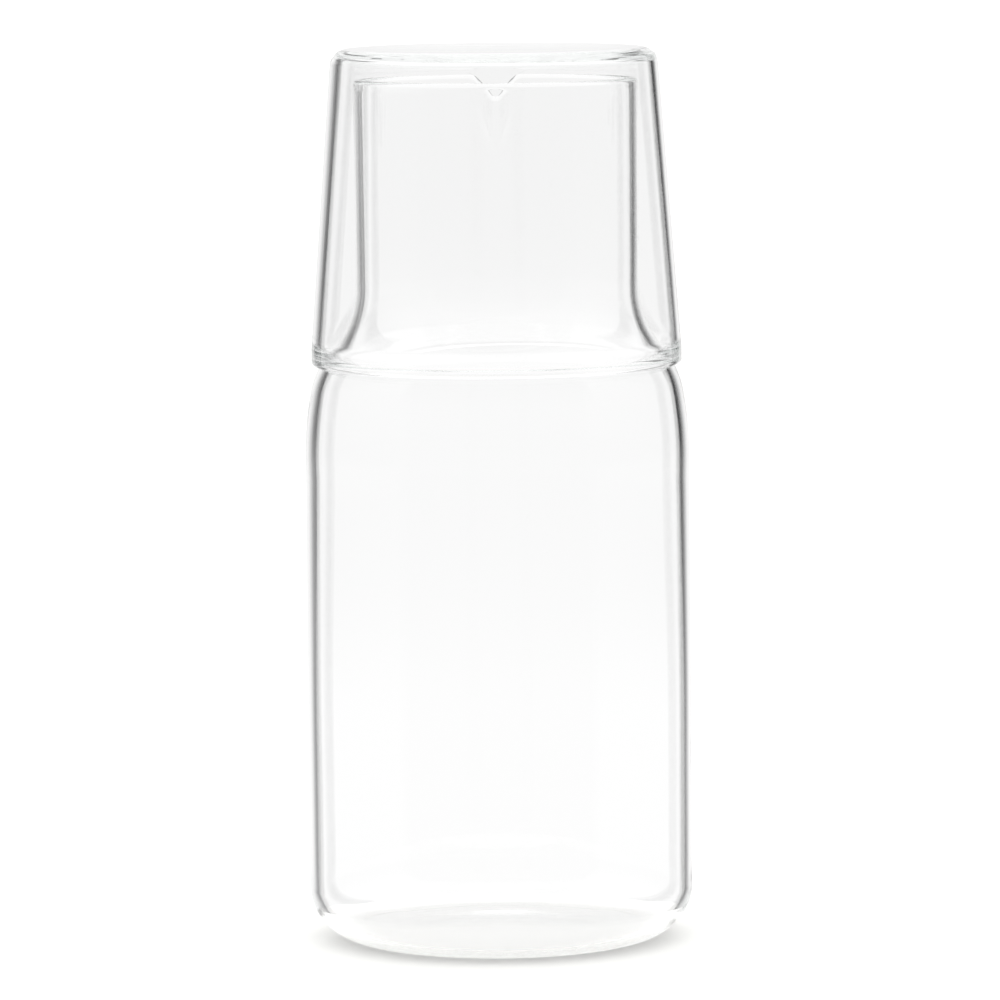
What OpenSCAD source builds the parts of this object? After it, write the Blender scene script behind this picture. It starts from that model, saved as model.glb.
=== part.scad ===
// Bedside carafe with a tapered tumbler kept upside down over its neck.
// Both pieces are clear borosilicate glass, round about the Z axis.
// The carafe stands on a flat ring at z = 0, its pouring spout points along +Y,
// and the tumbler's rim rests on the carafe's shoulder.

/* [Carafe] */
// Outside diameter of the body
body_d = 90; // [84:0.5:96]
// Height of the carafe, from the standing ring to the neck's rim
carafe_h = 202; // [192:1:214]
// Thickness of the blown wall
wall = 2; // [1.6:0.1:2.4]
// Height at which the straight side turns into the shoulder
side_h = 113.3; // [102:0.1:122]
// Radius of the heel, where the side turns under
heel_r = 12.5; // [8:0.5:16]
// Thickness of the floor
floor_t = 2.4; // [1.8:0.1:3.5]
// Height of the domed middle of the floor above the standing ring
floor_rise = 1.5; // [0.8:0.1:2.5]
// Radius of the domed middle of the floor
floor_rise_r = 27; // [22:0.5:29]

/* [Shoulder] */
// Radius of the gentle upper curve of the side
crown_r = 88; // [70:1:100]
// How far the gentle curve turns inwards, in degrees
crown_turn = 10; // [8:0.5:12]
// Radius of the round shoulder that follows it
shoulder_r = 21.3; // [18:0.1:24]
// Steepest lean of the shoulder, in degrees from the vertical
shoulder_turn = 41.5; // [38:0.5:46]

/* [Spout] */
// How far the spout's lip dips below the rim
spout_drop = 5.8; // [4.5:0.1:7]
// Lean of each side of the V from the vertical, in degrees
spout_side_lean = 38; // [32:1:42]
// Radius of the bottom of the V
spout_bottom_r = 1.3; // [1:0.1:1.6]
// Radius where the V runs out into the rim
spout_flare_r = 3; // [2:0.1:3.5]
// Depth below the rim of the point of the spout's conical channel
spout_root = 12.5; // [11:0.5:15]
// Half of the cone angle of the spout's channel, in degrees
spout_cone = 15; // [13:1:17]
// Air that the spout's tip leaves of the gap between neck and tumbler
spout_gap = 1.1; // [0.9:0.05:1.4]

/* [Tumbler] */
// How far the tumbler's rim stays inside the body's outline
rim_inset = 1.7; // [1.2:0.1:2.5]
// How much narrower the tumbler's radius is at its foot
taper = 5.3; // [4:0.1:6.5]
// Wall of the tumbler at its rim
mouth_t = 1.4; // [1.1:0.1:1.7]
// Wall of the tumbler at its foot
foot_wall_t = 1.8; // [1.4:0.1:2.2]
// Radius of the fire-polished bead on the tumbler's rim
bead_r = 1; // [0.9:0.05:1.2]
// Height of the straight band above the bead
band_h = 3; // [2:0.5:5]
// Thickness of the tumbler's foot
foot_t = 2.6; // [2:0.1:4]
// Outer radius of the foot's edge
foot_edge_r = 4; // [3:0.1:5]
// Inner radius of the foot's edge
foot_inner_r = 2.2; // [1.5:0.1:3]
// Depth of the shallow dish in the foot
foot_dish = 0.8; // [0.4:0.1:1.2]
// Width of the flat ring between the dish and the foot's edge
foot_ring_w = 4; // [2:0.5:6]

/* [Fit] */
// Air between the tumbler's bead and the shoulder that it rests on
seat_gap = 0.3; // [0.2:0.05:0.4]
// Air between the neck's rim and the tumbler's ceiling
headroom = 4.35; // [3:0.05:8]
// Air between the neck and the tumbler, level with the neck's rim
neck_gap = 3.4; // [2.4:0.1:4]

/* [Hidden] */
$fn = 144;
// Steps in each curved stretch of an outline
curve_steps = 8;
heel_steps = 12;
rim_steps = 8;
bead_steps = 12;
// How far a cutter runs past what it cuts
overrun = 1;

// The carafe's outline: centres of its arcs, as [radius, height]
body_r = body_d / 2;
crown_centre = [body_r - crown_r, side_h];
shoulder_centre = crown_centre + (crown_r - shoulder_r) * [cos(crown_turn), sin(crown_turn)];
shoulder_end = shoulder_centre + shoulder_r * [cos(shoulder_turn), sin(shoulder_turn)];

// The tumbler: its bead sits on the shoulder's arc, its ceiling clears the neck's rim
mouth_r = body_r - rim_inset;
bead_centre_r = mouth_r - bead_r;
seat_reach = shoulder_r + seat_gap + bead_r;
bead_z = shoulder_centre[1] + sqrt(pow(seat_reach, 2) - pow(bead_centre_r - shoulder_centre[0], 2));
ceiling_z = carafe_h + headroom;
foot_z = ceiling_z + foot_t;
foot_r = mouth_r - taper;
mouth_inner_r = mouth_r - mouth_t;
foot_inside_r = foot_r - foot_wall_t;
outer_lean = atan(taper / (foot_z - bead_z - band_h));
bead_end = acos((mouth_inner_r - bead_centre_r) / bead_r);
inner_lean = atan((mouth_inner_r - foot_inside_r) / (ceiling_z - bead_z - bead_r * sin(bead_end)));
dish_r = edge_centre_r(foot_r, foot_edge_r, outer_lean) - foot_ring_w;

// The neck fits inside the tumbler
inside_r_at_rim = foot_inside_r + headroom * tan(inner_lean);
neck_r = inside_r_at_rim - neck_gap;
neck_mid_r = neck_r - wall / 2;
throat_r = (shoulder_end[0] - neck_r) / (1 - cos(shoulder_turn));
throat_centre = [neck_r + throat_r, shoulder_end[1] + throat_r * sin(shoulder_turn)];
rim_z = carafe_h - wall / 2;

// The spout is a leaning cone pushed out of the neck's wall, under a V-shaped lip
spout_skin_share = 0.8;
spout_skin_t = wall * spout_skin_share;
spout_tip_y = neck_r + neck_gap - spout_gap - spout_skin_t;
spout_root_y = neck_mid_r - wall;
spout_lean = atan((spout_tip_y - spout_root_y) / (spout_root - spout_drop)) - spout_cone;

// Centre radius of an edge of radius r that rounds a leaning wall into a flat face
function edge_centre_r(wall_r, r, lean) = wall_r - r * (1 - sin(lean)) / cos(lean);

// Points of an arc, with its first point left out where it joins another arc
function arc(centre, r, from, to, steps, first = 0) = [
    for (i = [first:steps])
        let (a = from + (to - from) * i / steps)
        centre + r * [cos(a), sin(a)]
];

// Points from the axis outwards along a shallow dome of the given rise
function dome(z, r, rise) = [
    for (i = [0:curve_steps])
        let (x = r * i / curve_steps, ball_r = (r * r + rise * rise) / (2 * rise))
        [x, z + rise - ball_r + sqrt(ball_r * ball_r - x * x)]
];

function reversed(points) = [for (i = [len(points) - 1:-1:0]) points[i]];

// Outline of the carafe from the floor's centre to the foot of the rim, moved inwards by inset
function carafe_outline(inset, base_z) = concat(
    dome(base_z, floor_rise_r, floor_rise),
    arc([body_r - heel_r, base_z + heel_r - inset], heel_r - inset, -90, 0, heel_steps),
    arc(crown_centre, crown_r - inset, 0, crown_turn, curve_steps),
    arc(shoulder_centre, shoulder_r - inset, crown_turn, shoulder_turn, curve_steps, 1),
    arc(throat_centre, throat_r + inset, 180 + shoulder_turn, 180, curve_steps, 1)
);

// Blown wall of the carafe, with its rim rounded in the flame
module carafe_wall() {
    rim = arc([neck_mid_r, rim_z], wall / 2, 0, 180, rim_steps);
    rotate_extrude()
        polygon(concat(carafe_outline(0, 0), rim, reversed(carafe_outline(wall, floor_t))));
}

// Leaning cone of the spout's channel, its skin moved outwards by grow
module spout_channel(grow) {
    length = spout_root + wall;
    set_back = grow / sin(spout_cone);
    translate([0, spout_root_y, carafe_h - spout_root])
        rotate([-spout_lean, 0, 0])
            translate([0, 0, -set_back])
                cylinder(h = length + set_back, r1 = 0, r2 = (length + set_back) * tan(spout_cone));
}

// Glass pushed out of the neck's wall, up to just below the rim
module spout_skin() {
    difference() {
        spout_channel(spout_skin_t);
        translate([0, 0, carafe_h - 2 * spout_root])
            cylinder(h = 3 * spout_root, r = neck_mid_r);
        translate([-body_r, 0, rim_z])
            cube([body_d, body_d, 2 * spout_root]);
    }
}

// Everything above the V-shaped lip, as a prism along Y
module spout_notch() {
    lean = spout_side_lean;
    both_r = spout_bottom_r + spout_flare_r;
    flare_x = (sin(lean) * (spout_drop - both_r) + both_r) / cos(lean);
    right_flare = arc([flare_x, -spout_flare_r], spout_flare_r, 180 - lean, 90, curve_steps);
    left_flare = [for (p = reversed(right_flare)) [-p[0], p[1]]];
    bottom = arc([0, spout_bottom_r - spout_drop], spout_bottom_r, lean - 180, -lean, curve_steps);
    translate([0, body_r, carafe_h])
        rotate([90, 0, 0])
            linear_extrude(body_r - neck_r + wall + overrun)
                polygon(concat(left_flare, bottom, right_flare, [[flare_x, overrun], [-flare_x, overrun]]));
}

module carafe() {
    color([0.86, 0.93, 0.94, 0.45])
        difference() {
            union() {
                carafe_wall();
                spout_skin();
            }
            spout_channel(0);
            spout_notch();
        }
}

module tumbler() {
    outer_edge = [edge_centre_r(foot_r, foot_edge_r, outer_lean), foot_z - foot_edge_r];
    inner_edge = [edge_centre_r(foot_inside_r, foot_inner_r, inner_lean), ceiling_z - foot_inner_r];
    foot = [for (p = dome(-foot_z, dish_r, foot_dish)) [p[0], -p[1]]];
    bead = arc([bead_centre_r, bead_z], bead_r, 0, bead_end - 360, bead_steps);
    color([0.90, 0.95, 0.96, 0.45])
        rotate_extrude()
            polygon(concat(
                foot,
                arc(outer_edge, foot_edge_r, 90, outer_lean, curve_steps),
                [[mouth_r, bead_z + band_h]],
                bead,
                arc(inner_edge, foot_inner_r, inner_lean, 90, curve_steps),
                [[0, ceiling_z]]
            ));
}

carafe();
tumbler();
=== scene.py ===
"""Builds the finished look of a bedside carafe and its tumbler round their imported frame."""

import math

import bpy
from bpy.props import FloatProperty, PointerProperty, StringProperty
from mathutils import Matrix, Vector


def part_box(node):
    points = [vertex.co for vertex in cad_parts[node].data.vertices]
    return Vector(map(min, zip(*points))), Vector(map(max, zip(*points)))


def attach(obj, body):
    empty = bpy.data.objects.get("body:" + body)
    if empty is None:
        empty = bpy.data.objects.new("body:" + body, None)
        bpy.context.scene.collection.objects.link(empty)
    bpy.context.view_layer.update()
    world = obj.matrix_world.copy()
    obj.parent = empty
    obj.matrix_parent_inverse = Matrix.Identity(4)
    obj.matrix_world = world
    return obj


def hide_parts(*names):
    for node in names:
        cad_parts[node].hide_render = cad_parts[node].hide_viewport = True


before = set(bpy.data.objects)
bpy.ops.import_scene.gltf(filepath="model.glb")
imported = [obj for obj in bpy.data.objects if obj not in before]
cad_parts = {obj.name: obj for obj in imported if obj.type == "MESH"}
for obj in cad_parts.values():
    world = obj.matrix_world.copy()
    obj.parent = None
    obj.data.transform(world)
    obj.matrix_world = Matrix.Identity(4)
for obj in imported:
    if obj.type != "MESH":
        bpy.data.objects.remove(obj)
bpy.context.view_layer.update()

bl_info = {
    "name": "Bedside carafe with tumbler",
    "version": (1, 0, 0),
    "blender": (4, 5, 0),
    "location": "View3D > Sidebar > Carafe",
    "description": "Blows a clear glass carafe and tumbler in their frame, with a bright studio round them",
    "category": "Add Mesh",
}

CARAFE_LOW, CARAFE_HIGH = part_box("carafe")
TUMBLER_LOW, TUMBLER_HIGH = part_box("tumbler")
MM = 0.001

# Heights above the table: the carafe's wall is thin up to the first, thickest at the second and
# drawn out again from the third on. The neck stands aside from the fourth up, in full from the third.
THIN_Z, THICK_Z, NECK_Z, NECK_ASIDE_Z = 45 * MM, 120 * MM, 160 * MM, 125 * MM
# The inset at which the inner skin is drawn before its thickness follows its height
NOMINAL_WALL = 2 * MM
# Share of its width that the spout's channel keeps at its root
ROOT_SHARE = 0.55
# Height above the mouth over which the tumbler's inner skin moves aside
ASIDE_RUN = 6 * MM

# Spacing of an outline's points on its straight runs
SIDE_STEP, NECK_STEP, LIP_STEP, CEILING_STEP = 4 * MM, 6 * MM, 0.6 * MM, 3 * MM
# Points closer than this are welded into one
WELD = 0.002 * MM
# Sectors of half a turn, as (degrees, steps), with fine steps only across the spout
CARAFE_SECTORS = [(20, 40), (160, 112)]
TUMBLER_SECTORS = [(180, 240)]

# How many times longer than their spacing the draw lines are
DRAW_LINE_LENGTH = 24
# Share of its brightness that the floor paper keeps in its mottle
MOTTLE_SHARE = 0.985

SENSOR_WIDTH = 36.0
FLOOR_RADIUS = 30.0
# The papers lie just below the standing ring and each other, so that no two faces flicker
FLOOR_Z, ROUND_Z = -0.2 * MM, -0.1 * MM
# Light runs a long way inside the tumbler's foot before it leaves
BOUNCES = 160


# Properties

def length(name, description, millimetres):
    """A size in metres that the sidebar shows in the scene's length unit."""
    return FloatProperty(name=name, description=description, default=millimetres * MM,
                         min=0.0, unit="LENGTH", subtype="DISTANCE", precision=5)


def turn(name, description, degrees):
    """An angle, kept in radians and shown in degrees."""
    return FloatProperty(name=name, description=description, default=math.radians(degrees),
                         unit="ROTATION", subtype="ANGLE")


def amount(name, description, value, **limits):
    """A plain number, such as a brightness or a share."""
    return FloatProperty(name=name, description=description, default=value, **limits)


def shade(name, description, hex_value):
    """A colour as an sRGB hex value, such as F4F8F7."""
    return StringProperty(name=name, description=description, default=hex_value)


class CarafeSizes(bpy.types.PropertyGroup):
    """Sizes of the blown carafe"""

    body_diameter: length("Body diameter", "Outside diameter of the body",
                          2 * CARAFE_HIGH.x / MM)
    height: length("Height", "From the standing ring to the neck's rim", CARAFE_HIGH.z / MM)
    wall_low: length("Wall, low", "Thickness of the wall above the heel", 1.65)
    wall_shoulder: length("Wall, shoulder", "Thickness of the wall where the shoulder was worked", 2.45)
    wall_neck: length("Wall, neck", "Thickness of the wall of the neck", 2.05)
    off_centre: length("Off centre", "How far the inner skin runs off the outer one, to the right", 0.1)
    neck_aside: length("Neck aside", "How far the neck stands off the body's axis, to the right", 0.25)
    side_height: length("Side height", "Where the side turns into the shoulder", 113.3)
    fullness: length("Fullness", "How much fuller the side is at its middle", 0.12)
    heel_radius: length("Heel radius", "Radius where the side turns under", 12.5)
    floor_thickness: length("Floor thickness", "Thickness of the floor", 1.8)
    floor_rise: length("Floor rise", "Height of the domed middle of the floor", 1.5)
    floor_rise_radius: length("Floor rise radius", "Radius of the domed middle of the floor", 27.0)
    crown_radius: length("Crown radius", "Radius of the gentle upper curve of the side", 88.0)
    crown_turn: turn("Crown turn", "How far the gentle curve turns inwards", 10.0)
    shoulder_radius: length("Shoulder radius", "Radius of the round shoulder", 21.3)
    shoulder_turn: turn("Shoulder turn", "Steepest lean of the shoulder", 41.5)
    neck_radius: length("Neck radius", "Outside radius of the straight neck", 33.15)
    rim_bead: length("Rim bead", "Radius of the fire-polished bead on the neck's rim", 1.03)
    rim_run: length("Rim run", "Height over which the bead runs out into the inner skin", 2.5)
    spout_drop: length("Spout drop", "How far the lip dips below the rim", 5.8)
    spout_lean: turn("Spout lean", "Lean of each side of the V from the vertical", 38.0)
    spout_bottom_radius: length("Spout bottom radius", "Radius of the bottom of the V", 1.3)
    spout_flare_radius: length("Spout flare radius", "Radius where the V runs out into the rim", 3.0)
    spout_reach: length("Spout reach", "How far the lip is pulled out of the neck", 2.2)
    spout_half_width: length("Spout half width", "Half of the width of the pulled channel at the rim", 5.0)
    spout_root_depth: length("Spout root depth", "Depth below the rim where the pull begins", 22.0)
    lip_depth: length("Lip depth", "How deep below its edge the lip keeps its round section", 2.8)
    lip_width: length("Lip width", "Half of the width over which the lip is thickened", 14.0)
    lip_swell: amount("Lip swell", "How much thicker the bead is at the spout, as a share", 0.25,
                      min=0.0, max=1.0)


class TumblerSizes(bpy.types.PropertyGroup):
    """Sizes of the blown tumbler, as it stands upside down on the shoulder"""

    mouth_diameter: length("Mouth diameter", "Outside diameter of the rim",
                           2 * TUMBLER_HIGH.x / MM)
    foot_height: length("Foot height", "Height of the foot above the table", TUMBLER_HIGH.z / MM)
    mouth_height: length("Mouth height", "Height of the rim above the table", TUMBLER_LOW.z / MM)
    taper: length("Taper", "How much narrower the radius is at the foot", 5.3)
    mouth_wall: length("Wall at the mouth", "Wall just above the bead", 1.4)
    foot_wall: length("Wall at the foot", "Wall next to the foot", 1.8)
    off_centre: length("Off centre", "How far the inner skin runs off the outer one, to the right", 0.3)
    bead_radius: length("Bead radius", "Radius of the fire-polished bead", 1.0)
    band_height: length("Band height", "Height of the straight band above the bead", 3.0)
    foot_thickness: length("Foot thickness", "Thickness of the foot", 2.6)
    foot_edge_radius: length("Foot edge radius", "Outer radius of the foot's edge", 4.0)
    foot_inner_radius: length("Foot inner radius", "Inner radius of the foot's edge", 1.0)
    foot_dish: length("Foot dish", "Depth of the shallow dish in the foot", 0.8)
    foot_ring: length("Foot ring", "Width of the flat ring round the dish", 4.0)


class GlassFinish(bpy.types.PropertyGroup):
    """Finish of the borosilicate glass"""

    surface_hex: shade("Surface colour", "Colour of the glass surface, as an sRGB hex value", "FFFFFF")
    body_hex: shade("Body colour", "Colour that a long way through the glass takes on", "E4EEEA")
    density: amount("Body density", "How fast the glass takes on its colour, per metre", 1.5, min=0.0)
    draw_line_spacing: length("Draw line spacing", "Spacing of the faint upright lines of drawn tube", 3.5)
    draw_line_depth: length("Draw line depth", "Depth of those lines", 0.006)
    haze: amount("Haze", "Roughness where the glass was handled most", 0.02, min=0.0)


class StageSettings(bpy.types.PropertyGroup):
    """Camera, floor and light"""

    distance: length("Distance", "From the camera to the middle of the set", 1600.0)
    aim_height: length("Aim height", "Height that the camera looks at", 103.07)
    aim_side: length("Aim side", "How far right of the axis the camera looks", 0.49)
    elevation: turn("Elevation", "How far the camera looks down", 5.86)
    roll: turn("Roll", "Turn of the camera about its own axis", -0.54)
    lens: amount("Lens", "Focal length on a 36 mm sensor, in millimetres", 245.714)
    floor_hex: shade("Floor colour", "Colour of the floor paper, as an sRGB hex value", "F2F2F0")
    round_radius: length("Round radius", "Radius of the lit paper that the glass refracts and mirrors", 50.0)
    # Painted light: the floor papers glow by themselves, the round under the glass more, which lifts the
    # glass's shadow on them and lightens the base seen through the glass.
    table_glow: amount("Table glow", "Light that comes up through the paper of the floor", 0.25)
    round_glow: amount("Round glow", "Light that comes up through the paper under the glass", 0.62)
    sweep: amount("Sweep", "Brightness of the lit sweep low behind the set", 1.0)
    horizon: amount("Horizon", "Brightness of the studio at eye level", 0.905)
    zenith: amount("Zenith", "Brightness of the soft light overhead", 1.35)
    # The room's wall glows by itself: painted light in place of a lit, dim room.
    room_level: amount("Room level", "Brightness of the room behind the camera", 0.9)
    room_distance: length("Room distance", "How far behind the camera the room's wall stands", 500.0)
    room_dim: length("Room dim half", "Half of the width over which the wall is at its dimmest", 1200.0)
    room_half: length("Room half", "Half of the wall's width", 4000.0)
    card_distance: length("Card distance", "How far behind the set the dark cards hang", 1000.0)
    card_start: length("Card start", "From the camera's axis to a card's white inner edge", 330.0)
    card_dark: length("Card dark", "From the camera's axis to where a card is at its darkest", 600.0)
    card_width: length("Card width", "Width of a card", 540.0)
    card_height: length("Card height", "Height of a card", 2400.0)
    # The cards' brightness is painted light: they glow by themselves, and the table's light on them low down
    # is put into that glow.
    card_low: length("Card low", "Below the camera's axis, where the table lights a card in full", 40.0)
    card_high: length("Card high", "Above the camera's axis, where the table's light on a card ends", 80.0)
    left_level: amount("Left card", "Brightness of the left card's dark part", 0.14)
    right_level: amount("Right card", "Brightness of the right card's dark part", 0.03)
    card_lift: amount("Card lift", "What the table adds to the cards low down", 0.17)


# Outlines, as points (radius, height) in metres

def arc(centre, radius, start, end, steps, first=0):
    """Points of an arc, with its first point left out where it joins another arc."""
    points = []
    for step in range(first, steps + 1):
        angle = start + (end - start) * step / steps
        points.append((centre[0] + radius * math.cos(angle), centre[1] + radius * math.sin(angle)))
    return points


def straight(start, end, spacing):
    """Points between two ends, without the ends themselves."""
    count = max(1, round(math.dist(start, end) / spacing))
    return [(start[0] + (end[0] - start[0]) * i / count, start[1] + (end[1] - start[1]) * i / count)
            for i in range(1, count)]


def swell(z, radius, rise, steps=18):
    """Points from the axis outwards along a soft dome that runs out flat."""
    return [(radius * i / steps, z + rise * (1 - (i / steps) ** 2) ** 2) for i in range(steps + 1)]


def ease(share):
    """1 at nought, 0 from one on, level at both ends."""
    share = min(1.0, max(0.0, share))
    return (1 - share) ** 2 * (1 + 2 * share)


def wall_at(size, z):
    """The wall's thickness: thin low down, gathered at the shoulder, drawn out again in the neck."""
    if z < THICK_Z:
        share = ease((z - THIN_Z) / (THICK_Z - THIN_Z))
        return size.wall_shoulder + (size.wall_low - size.wall_shoulder) * share
    return size.wall_neck + (size.wall_shoulder - size.wall_neck) * ease((z - THICK_Z) / (NECK_Z - THICK_Z))


def carafe_skin(size, inset, base):
    """One face of the carafe's wall, from the floor's centre up to the foot of the rim."""
    body = size.body_diameter / 2
    crown_centre = Vector((body - size.crown_radius, size.side_height))
    along_crown = Vector((math.cos(size.crown_turn), math.sin(size.crown_turn)))
    shoulder_centre = crown_centre + (size.crown_radius - size.shoulder_radius) * along_crown
    lean = size.shoulder_turn
    shoulder_end = shoulder_centre + size.shoulder_radius * Vector((math.cos(lean), math.sin(lean)))
    throat = (shoulder_end.x - size.neck_radius) / (1 - math.cos(lean))
    throat_centre = (size.neck_radius + throat, shoulder_end.y + throat * math.sin(lean))
    heel_z = base + size.heel_radius - inset
    rim_z = size.height - size.rim_bead
    spout_z = size.height - size.spout_root_depth
    neck = size.neck_radius - inset
    points = swell(base, size.floor_rise_radius, size.floor_rise)
    points += arc((body - size.heel_radius, heel_z), size.heel_radius - inset, -math.pi / 2, 0, steps=20)
    points += straight((body - inset, heel_z), (body - inset, size.side_height), SIDE_STEP)
    points += arc(crown_centre, size.crown_radius - inset, 0, size.crown_turn, steps=10)
    points += arc(shoulder_centre, size.shoulder_radius - inset, size.crown_turn, lean, steps=16, first=1)
    points += arc(throat_centre, throat + inset, math.pi + lean, math.pi, steps=20, first=1)
    points += straight((neck, throat_centre[1]), (neck, spout_z), NECK_STEP) + [(neck, spout_z)]
    points += straight((neck, spout_z), (neck, rim_z), LIP_STEP)
    middle = (heel_z + size.side_height) / 2
    reach = size.side_height - middle
    skin = []
    for r, z in points:
        # The side is a hair fuller at its middle, and its thickness follows its height
        share = (z - middle) / reach
        r -= size.fullness * share ** 2 if abs(share) < 1 and r > size.neck_radius else 0.0
        if inset:
            r -= (wall_at(size, z) - inset) * (1 - ease((z - size.floor_thickness) / size.heel_radius))
            r -= (2 * size.rim_bead - size.wall_neck) * ease((rim_z - z) / size.rim_run)
        skin.append((r, z))
    return skin


def carafe_outline(size):
    """The whole closed wall: outer skin, fire-polished rim, inner skin."""
    bead = size.rim_bead
    rim = arc((size.neck_radius - bead, size.height - bead), bead, 0, math.pi, steps=18)
    return carafe_skin(size, 0, 0) + rim + carafe_skin(size, NOMINAL_WALL, size.floor_thickness)[::-1]


def edge_centre(wall_radius, radius, lean):
    """Centre radius of an edge that rounds a leaning wall into a flat face."""
    return wall_radius - radius * (1 - math.sin(lean)) / math.cos(lean)


def tumbler_outline(size):
    """The tumbler's closed wall, from the dish in its foot down to the bead and up to the ceiling."""
    mouth = size.mouth_diameter / 2
    bead = (mouth - size.bead_radius, size.mouth_height + size.bead_radius)
    ceiling = size.foot_height - size.foot_thickness
    foot = mouth - size.taper
    inside = mouth - size.mouth_wall
    foot_inside = foot - size.foot_wall
    outer_lean = math.atan(size.taper / (size.foot_height - bead[1] - size.band_height))
    bead_end = math.acos((inside - bead[0]) / size.bead_radius)
    bead_top = bead[1] + size.bead_radius * math.sin(bead_end)
    inner_lean = math.atan((inside - foot_inside) / (ceiling - bead_top))
    outer_edge = (edge_centre(foot, size.foot_edge_radius, outer_lean),
                  size.foot_height - size.foot_edge_radius)
    inner_edge = (edge_centre(foot_inside, size.foot_inner_radius, inner_lean),
                  ceiling - size.foot_inner_radius)
    dish = outer_edge[0] - size.foot_ring
    points = swell(size.foot_height, dish, -size.foot_dish)
    points += arc(outer_edge, size.foot_edge_radius, math.pi / 2, outer_lean, steps=24)
    band = (mouth, bead[1] + size.band_height)
    points += straight(points[-1], band, SIDE_STEP) + [band]
    points += arc(bead, size.bead_radius, 0, bead_end - 2 * math.pi, steps=36)
    corner = arc(inner_edge, size.foot_inner_radius, inner_lean, math.pi / 2, steps=12)
    points += straight(points[-1], corner[0], SIDE_STEP) + corner
    points += straight(corner[-1], (0, ceiling), CEILING_STEP) + [(0, ceiling)]
    return points


# Modelling

def start_piece(name):
    """Adds the small square that every wall starts from, and takes it into edit mode."""
    if bpy.context.mode != "OBJECT":
        bpy.ops.object.mode_set(mode="OBJECT")
    bpy.ops.object.select_all(action="DESELECT")
    bpy.ops.mesh.primitive_plane_add(size=MM, location=(0, 0, 0))
    piece = bpy.context.active_object
    piece.name = name
    piece.data.name = name
    bpy.ops.object.mode_set(mode="EDIT")
    bpy.ops.mesh.select_mode(type="VERT")
    bpy.ops.mesh.select_all(action="SELECT")
    bpy.ops.mesh.merge(type="CENTER")
    return piece


def draw_outline(points):
    """Moves the one point to the outline's start and extrudes it along the outline, on the side of +Y."""
    bpy.ops.transform.translate(value=(0, points[0][0], points[0][1]))
    for before, after in zip(points, points[1:]):
        step = (0, after[0] - before[0], after[1] - before[1])
        bpy.ops.mesh.extrude_region_move(TRANSFORM_OT_translate={"value": step})


def spin_outline(piece, sectors):
    """Spins the outline half round the axis, sector by sector, and mirrors that half across the spout."""
    bpy.ops.mesh.select_all(action="SELECT")
    for angle, steps in sectors:
        bpy.ops.mesh.spin(steps=steps, angle=math.radians(angle), center=(0, 0, 0), axis=(0, 0, 1))
    bpy.ops.object.mode_set(mode="OBJECT")
    mirror = piece.modifiers.new("other half", "MIRROR")
    mirror.merge_threshold = WELD
    bpy.ops.object.modifier_apply(modifier=mirror.name)
    bpy.ops.object.mode_set(mode="EDIT")
    bpy.ops.mesh.select_all(action="SELECT")
    bpy.ops.mesh.remove_doubles(threshold=WELD)
    bpy.ops.mesh.normals_make_consistent(inside=False)
    bpy.ops.object.mode_set(mode="OBJECT")
    bpy.ops.object.shade_smooth()


def lip_drop(size, x):
    """How far the V-shaped lip lies below the rim, x to the side of its middle."""
    lean = size.spout_lean
    bottom, flare, drop = size.spout_bottom_radius, size.spout_flare_radius, size.spout_drop
    flare_x = (math.sin(lean) * (drop - bottom - flare) + bottom + flare) / math.cos(lean)
    x = abs(x)
    if x >= flare_x:
        return 0.0
    if x < bottom * math.cos(lean):
        return drop - bottom + math.sqrt(bottom ** 2 - x ** 2)
    if x > flare_x - flare * math.cos(lean):
        return flare - math.sqrt(flare ** 2 - (flare_x - x) ** 2)
    touch = bottom * math.cos(lean)
    return drop - bottom + bottom * math.sin(lean) - (x - touch) / math.tan(lean)


def inner_share(outer, top, r, z):
    """1 on the inner skin of a wall whose outer skin is the outline outer, 0 on the outer skin and
    above top."""
    if z > top:
        return 0.0
    for low, high in zip(outer, outer[1:]):
        if low[1] <= z <= high[1] and high[1] > low[1]:
            skin = low[0] + (high[0] - low[0]) * (z - low[1]) / (high[1] - low[1])
            return 1 - ease((skin - r) / MM)
    return 0.0


def shift_inside(piece, inner, amount):
    """Moves points aside, as hand work leaves them. inner(r, z) is the share of amount for a point."""
    for point in piece.data.vertices:
        point.co.x += amount * inner(math.hypot(point.co.x, point.co.y), point.co.z)


def pull_spout(piece, size):
    """Pulls the soft V of the pouring spout out of the rim at +Y, as a flame-worker does with a rod. Each
    point near the edge keeps its distance from it, so that the bead runs on round the V, and it gathers
    there."""
    bead = size.rim_bead
    bead_middle = size.neck_radius - bead
    probe = 0.01 * MM
    for point in piece.data.vertices:
        x, y, z = point.co
        depth = size.height - z
        if y < 0 or depth > size.spout_root_depth:
            continue
        radius = math.hypot(x, y)
        x = radius * math.atan2(x, y)
        gather = size.lip_swell * ease(abs(x) / size.lip_width)
        radius += (radius - bead_middle) * gather * ease((depth - bead) / (2 * size.lip_depth))
        depth -= max(0.0, bead - depth) * gather
        slope = (lip_drop(size, x + probe) - lip_drop(size, x - probe)) / (2 * probe)
        fade = ease((depth - 2 * bead) / (size.spout_root_depth - 2 * bead))
        near = size.lip_depth * (1 - math.exp(-depth / size.lip_depth))
        steep = math.hypot(1, slope)
        aside = x - slope / steep * near * fade
        down = lip_drop(size, x) * fade - (1 - 1 / steep) * near * fade
        half_width = size.spout_half_width * (ROOT_SHARE + (1 - ROOT_SHARE) * fade)
        radius += size.spout_reach * (1 - min(1.0, abs(aside) / half_width) ** 2) ** 2 * fade
        angle = aside / radius
        height = min(size.height - depth - down, size.height)
        point.co = (radius * math.sin(angle), radius * math.cos(angle), height)
    piece.data.update()


# Materials

def linear(hex_value):
    """An sRGB hex value as a linear colour with full alpha."""
    channels = [int(hex_value[i:i + 2], 16) / 255 for i in (0, 2, 4)]
    return [c / 12.92 if c <= 0.04045 else ((c + 0.055) / 1.055) ** 2.4 for c in channels] + [1.0]


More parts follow.
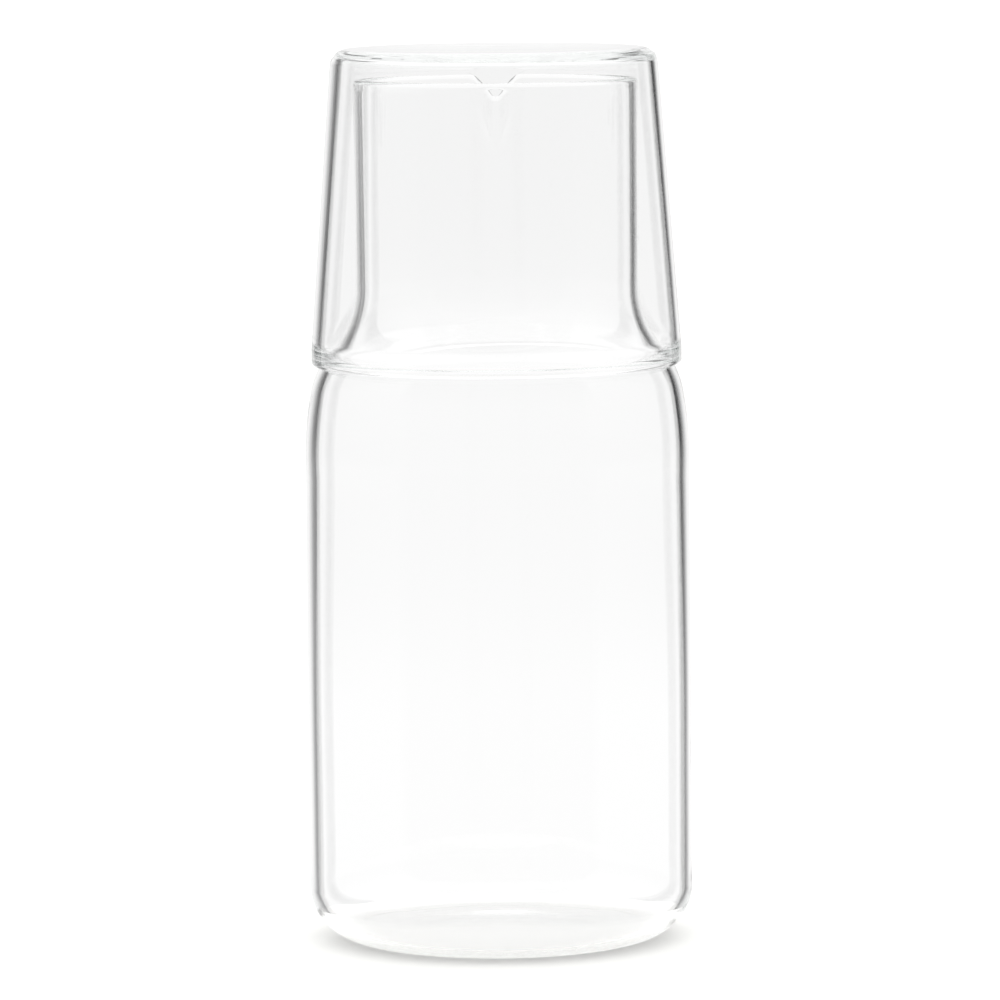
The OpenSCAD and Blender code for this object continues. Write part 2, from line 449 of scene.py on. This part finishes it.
def add_node(tree, kind, settings=None, inputs=None, links=None):
    """Adds a node, with its settings, its input values and its links {input: output socket}."""
    node = tree.nodes.new(kind)
    for key, value in (settings or {}).items():
        setattr(node, key, value)
    for key, value in (inputs or {}).items():
        node.inputs[key].default_value = value
    for key, output in (links or {}).items():
        tree.links.new(output, node.inputs[key])
    return node


def empty_material(name):
    material = bpy.data.materials.new(name)
    material.use_nodes = True
    material.node_tree.nodes.clear()
    return material, material.node_tree


def borosilicate_glass(name, finish):
    """Clear borosilicate glass, blown from drawn tube and fire-polished: no colour face on, a breath of
    green where the light runs along the wall, and faint upright draw lines that wobble what is behind."""
    material, tree = empty_material(name)
    place = add_node(tree, "ShaderNodeTexCoord").outputs["Object"]
    per_metre = 1 / finish.draw_line_spacing
    stretched = add_node(tree, "ShaderNodeMapping",
                         inputs={"Scale": (per_metre, per_metre, per_metre / DRAW_LINE_LENGTH)},
                         links={"Vector": place})
    lines = add_node(tree, "ShaderNodeTexNoise", inputs={"Scale": 1.0, "Detail": 1.0, "Roughness": 0.4},
                     links={"Vector": stretched.outputs["Vector"]})
    # A slow swell, about 25 mm from crest to crest, as blowing leaves it
    breath = add_node(tree, "ShaderNodeTexNoise", inputs={"Scale": 40.0, "Detail": 0.0},
                      links={"Vector": place})
    both = add_node(tree, "ShaderNodeMath", {"operation": "MULTIPLY_ADD", "use_clamp": False}, {1: 3.0},
                    {0: breath.outputs["Fac"], 2: lines.outputs["Fac"]})
    # The lines run along the walls and die out on level faces, which were flattened on a plate
    facing = add_node(tree, "ShaderNodeSeparateXYZ",
                      links={"Vector": add_node(tree, "ShaderNodeTexCoord").outputs["Normal"]})
    level = add_node(tree, "ShaderNodeMath", {"operation": "ABSOLUTE"}, links={0: facing.outputs["Z"]})
    upright = add_node(tree, "ShaderNodeMapRange",
                       inputs={"From Min": 0.1, "From Max": 0.6, "To Min": 1.0, "To Max": 0.0},
                       links={"Value": level.outputs["Value"]})
    relief = add_node(tree, "ShaderNodeBump", inputs={"Distance": finish.draw_line_depth},
                      links={"Height": both.outputs["Value"], "Strength": upright.outputs["Result"]})
    # Fire polish is all but perfect; handling leaves the faintest uneven haze
    haze = add_node(tree, "ShaderNodeTexNoise", inputs={"Scale": 90.0, "Detail": 3.0},
                    links={"Vector": place})
    rough = add_node(tree, "ShaderNodeMapRange",
                     inputs={"From Min": 0.35, "From Max": 0.75, "To Min": 0.0, "To Max": finish.haze},
                     links={"Value": haze.outputs["Fac"]})
    skin = add_node(tree, "ShaderNodeBsdfPrincipled",
                    inputs={"Base Color": linear(finish.surface_hex), "Metallic": 0.0, "IOR": 1.474,
                            "Transmission Weight": 1.0},
                    links={"Roughness": rough.outputs["Result"], "Normal": relief.outputs["Normal"]})
    inside = add_node(tree, "ShaderNodeVolumeAbsorption",
                      inputs={"Color": linear(finish.body_hex), "Density": finish.density})
    add_node(tree, "ShaderNodeOutputMaterial",
             links={"Surface": skin.outputs["BSDF"], "Volume": inside.outputs["Volume"]})
    return material


def sweep_paper(name, hex_value, glow):
    """Matt studio paper: a plain pale sheet with a barely seen mottle, which glows evenly by itself as if lit
    from below on a light table. The glow is painted light that lifts the shadows on it.
    """
    material, tree = empty_material(name)
    place = add_node(tree, "ShaderNodeTexCoord").outputs["Object"]
    mottle = add_node(tree, "ShaderNodeTexNoise", inputs={"Scale": 6.0, "Detail": 2.0},
                      links={"Vector": place})
    base = linear(hex_value)
    tone = add_node(tree, "ShaderNodeMix", {"data_type": "RGBA"},
                    {"A": base, "B": [c * MOTTLE_SHARE for c in base[:3]] + [1.0]},
                    {"Factor": mottle.outputs["Fac"]})
    skin = add_node(tree, "ShaderNodeBsdfPrincipled",
                    # Painted light: the glow stands in for light from below and lifts the shadow under the
                    # glass.
                    inputs={"Roughness": 0.9, "Specular IOR Level": 0.2, "Emission Color": base,
                            "Emission Strength": glow},
                    links={"Base Color": tone.outputs["Result"]})
    add_node(tree, "ShaderNodeOutputMaterial", links={"Surface": skin.outputs["BSDF"]})
    return material


# Operators

class CARAFE_OT_blow_carafe(bpy.types.Operator):
    """Blow the carafe: its wall is drawn and spun round the axis, and the spout is pulled out of the rim"""

    bl_idname = "carafe.blow_carafe"
    bl_label = "Blow the carafe"

    def execute(self, context):
        size = context.scene.carafe_sizes
        piece = start_piece("carafe_glass")
        draw_outline(carafe_outline(size))
        spin_outline(piece, CARAFE_SECTORS)
        outer = carafe_skin(size, 0, 0)
        shift_inside(piece, lambda r, z: inner_share(outer, size.height, r, z), size.off_centre)
        shift_inside(piece, lambda r, z: 1 - ease((z - NECK_ASIDE_Z) / (NECK_Z - NECK_ASIDE_Z)),
                     size.neck_aside)
        pull_spout(piece, size)
        piece.data.materials.append(borosilicate_glass("borosilicate_carafe", context.scene.carafe_finish))
        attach(piece, "carafe")
        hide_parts("carafe")
        return {"FINISHED"}


class CARAFE_OT_blow_tumbler(bpy.types.Operator):
    """Blow the tumbler: its wall is drawn as an outline from foot to bead and spun round the axis"""

    bl_idname = "carafe.blow_tumbler"
    bl_label = "Blow the tumbler"

    def execute(self, context):
        size = context.scene.tumbler_sizes
        piece = start_piece("tumbler_glass")
        draw_outline(tumbler_outline(size))
        spin_outline(piece, TUMBLER_SECTORS)
        mouth = size.mouth_diameter / 2
        outer = [(mouth, size.mouth_height), (mouth - size.taper, size.foot_height)]
        top = size.foot_height - size.foot_thickness / 2
        shift_inside(piece, lambda r, z: inner_share(outer, top, r, z)
                     * (1 - ease((z - size.mouth_height) / ASIDE_RUN)), size.off_centre)
        piece.data.materials.append(borosilicate_glass("borosilicate_tumbler", context.scene.carafe_finish))
        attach(piece, "tumbler")
        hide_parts("tumbler")
        return {"FINISHED"}


class CARAFE_OT_set_stage(bpy.types.Operator):
    """Set the stage: camera, pale floor, soft light all round and the dark cards that draw the edges"""

    bl_idname = "carafe.set_stage"
    bl_label = "Set the stage"

    def execute(self, context):
        stage = context.scene.carafe_stage
        camera = self.place_camera(context.scene, stage)
        self.hang_cards(camera, stage)
        self.lay_floor(stage)
        self.light_studio(context.scene, stage)
        return {"FINISHED"}

    def place_camera(self, scene, stage):
        bpy.ops.object.select_all(action="DESELECT")
        bpy.ops.object.camera_add()
        camera = bpy.context.active_object
        camera.name = "photo_camera"
        camera.data.sensor_width = SENSOR_WIDTH
        camera.data.lens = stage.lens
        camera.data.clip_start = 0.05
        camera.data.clip_end = 100.0
        aim = Vector((stage.aim_side, 0, stage.aim_height))
        back = Vector((0, -math.cos(stage.elevation), math.sin(stage.elevation)))
        facing = (-back).to_track_quat("-Z", "Y").to_matrix() @ Matrix.Rotation(stage.roll, 3, "Z")
        camera.matrix_world = Matrix.Translation(aim + stage.distance * back) @ facing.to_4x4()
        scene.camera = camera
        return camera

    def lay_floor(self, stage):
        """A wide pale floor for the eye, and a round of paper, brighter by its painted glow, that only the
        glass bends and mirrors, which lifts the shadow seen through the glass's base.
        """
        paper = sweep_paper("studio_paper", stage.floor_hex, stage.table_glow)
        lit_paper = sweep_paper("lit_paper", stage.floor_hex, stage.round_glow)
        floor = self.add_round("floor_paper", FLOOR_RADIUS, FLOOR_Z, paper)
        floor.visible_glossy = False
        floor.visible_transmission = False
        table = self.add_round("floor_round", stage.round_radius, ROUND_Z, lit_paper)
        table.visible_camera = False
        table.visible_diffuse = False
        table.visible_shadow = False

    def add_round(self, name, radius, height, material):
        bpy.ops.object.select_all(action="DESELECT")
        bpy.ops.mesh.primitive_circle_add(vertices=128, radius=radius, fill_type="TRIFAN",
                                          location=(0, 0, height))
        disc = bpy.context.active_object
        disc.name = name
        bpy.ops.object.transform_apply(location=True, rotation=True, scale=True)
        disc.data.materials.append(material)
        return disc

    def hang_cards(self, camera, stage):
        """Two tall dark cards hang on the camera's arm, behind the set and outside the picture on both sides,
        as on a turntable where only the set turns. They glow by themselves with painted light that grows
        darker outwards, and draw the grey lines along the glass's walls. The wall of the dim room behind the
        camera, which glows with painted light too, is what the glass mirrors. Only light that the glass bends
        or mirrors meets them."""
        behind = -stage.distance - stage.card_distance
        middle = stage.card_start + stage.card_width / 2
        for side, name, level in ((-1, "dark_card_left", stage.left_level),
                                  (1, "dark_card_right", stage.right_level)):
            painted_cloth = self.painted_light_cloth(name, stage.card_start, stage.card_dark, 1.0, level, stage.card_lift)
            place = (side * middle, 0, behind)
            self.add_card(name, camera, place, stage.card_width, stage.card_height, painted_cloth)
        room = self.painted_light_cloth("room_wall", stage.room_dim, stage.room_half, stage.room_level,
                                 stage.horizon)
        across = 2 * stage.room_half
        self.add_card("room_wall", camera, (0, 0, stage.room_distance), across, across, room)

    def add_card(self, name, camera, place, width, height, material):
        bpy.ops.object.select_all(action="DESELECT")
        bpy.ops.mesh.primitive_plane_add(size=1.0, location=place)
        card = bpy.context.active_object
        card.name = name
        card.scale = (width, height, 1)
        bpy.ops.object.transform_apply(location=True, rotation=True, scale=True)
        card.parent = camera
        card.data.materials.append(material)
        card.visible_camera = False
        card.visible_diffuse = False
        card.visible_shadow = False

    def painted_light_cloth(self, name, start, end, inner, outer, lift=0.0):
        """Cloth that glows by itself, with painted light in place of lamplight: a soft change from the
        brightness inner to outer, between start and end from the camera's axis. lift is painted light, what
        the lit table would add to the outer part low down."""
        stage = bpy.context.scene.carafe_stage
        material, tree = empty_material(name)
        parts = add_node(tree, "ShaderNodeSeparateXYZ",
                         links={"Vector": add_node(tree, "ShaderNodeTexCoord").outputs["Object"]})
        aside = add_node(tree, "ShaderNodeMath", {"operation": "ABSOLUTE"}, links={0: parts.outputs["X"]})
        dark = add_node(tree, "ShaderNodeMapRange", {"interpolation_type": "SMOOTHSTEP"},
                        {"From Min": -stage.card_low, "From Max": stage.card_high, "To Min": outer + lift,
                         "To Max": outer}, {"Value": parts.outputs["Y"]})
        tone = add_node(tree, "ShaderNodeMapRange", {"interpolation_type": "SMOOTHSTEP"},
                        {"From Min": start, "From Max": end, "To Min": inner},
                        {"Value": aside.outputs["Value"], "To Max": dark.outputs["Result"]})
        # Painted light: the cloth's brightness is an emission, not light falling on it.
        glow = add_node(tree, "ShaderNodeEmission", links={"Strength": tone.outputs["Result"]})
        add_node(tree, "ShaderNodeOutputMaterial", links={"Surface": glow.outputs["Emission"]})
        return material

    def light_studio(self, scene, stage):
        """A white surround: brightest overhead as under a large silk, and a lit sweep that falls off softly
        towards eye level."""
        world = bpy.data.worlds.new("soft_studio")
        scene.world = world
        world.use_nodes = True
        tree = world.node_tree
        tree.nodes.clear()
        way = add_node(tree, "ShaderNodeTexCoord").outputs["Generated"]
        # The sine of the angle above eye level
        height = add_node(tree, "ShaderNodeSeparateXYZ", links={"Vector": way}).outputs["Z"]
        low = add_node(tree, "ShaderNodeMapRange", {"interpolation_type": "SMOOTHSTEP"},
                       {"From Min": -0.13, "From Max": -0.04, "To Min": stage.sweep, "To Max": stage.horizon},
                       {"Value": height}).outputs["Result"]
        high = add_node(tree, "ShaderNodeMapRange", {"interpolation_type": "SMOOTHSTEP"},
                        {"From Min": 0.05, "From Max": 0.9, "To Min": 0.0,
                         "To Max": stage.zenith - stage.horizon}, {"Value": height}).outputs["Result"]
        strength = add_node(tree, "ShaderNodeMath", {"operation": "ADD"}, links={0: low, 1: high})
        glow = add_node(tree, "ShaderNodeBackground", inputs={"Color": (1, 1, 1, 1)},
                        links={"Strength": strength.outputs["Value"]})
        add_node(tree, "ShaderNodeOutputWorld", links={"Surface": glow.outputs["Background"]})
        scene.view_settings.view_transform = "Standard"
        scene.view_settings.look = "None"
        scene.cycles.max_bounces = BOUNCES
        scene.cycles.transmission_bounces = BOUNCES
        scene.cycles.glossy_bounces = BOUNCES


class CARAFE_PT_sidebar(bpy.types.Panel):
    """Sizes and steps of the carafe in the sidebar"""

    bl_idname = "CARAFE_PT_sidebar"
    bl_label = "Carafe and tumbler"
    bl_space_type = "VIEW_3D"
    bl_region_type = "UI"
    bl_category = "Carafe"

    def draw(self, context):
        layout = self.layout
        scene = context.scene
        for title, group in (("Carafe", scene.carafe_sizes), ("Tumbler", scene.tumbler_sizes),
                             ("Glass", scene.carafe_finish), ("Stage", scene.carafe_stage)):
            box = layout.box()
            box.label(text=title)
            for key in group.bl_rna.properties.keys():
                if key not in ("rna_type", "name"):
                    box.prop(group, key)
        for step in STEPS:
            layout.operator(step.bl_idname)


STEPS = (CARAFE_OT_set_stage, CARAFE_OT_blow_carafe, CARAFE_OT_blow_tumbler)
GROUPS = (CarafeSizes, TumblerSizes, GlassFinish, StageSettings)


def register():
    for item in GROUPS + STEPS + (CARAFE_PT_sidebar,):
        bpy.utils.register_class(item)
    bpy.types.Scene.carafe_sizes = PointerProperty(type=CarafeSizes)
    bpy.types.Scene.tumbler_sizes = PointerProperty(type=TumblerSizes)
    bpy.types.Scene.carafe_finish = PointerProperty(type=GlassFinish)
    bpy.types.Scene.carafe_stage = PointerProperty(type=StageSettings)


def unregister():
    del bpy.types.Scene.carafe_stage
    del bpy.types.Scene.carafe_finish
    del bpy.types.Scene.tumbler_sizes
    del bpy.types.Scene.carafe_sizes
    for item in reversed(GROUPS + STEPS + (CARAFE_PT_sidebar,)):
        bpy.utils.unregister_class(item)


def main():
    register()
    bpy.ops.carafe.set_stage()
    bpy.ops.carafe.blow_carafe()
    bpy.ops.carafe.blow_tumbler()


if __name__ == "__main__":
    main()
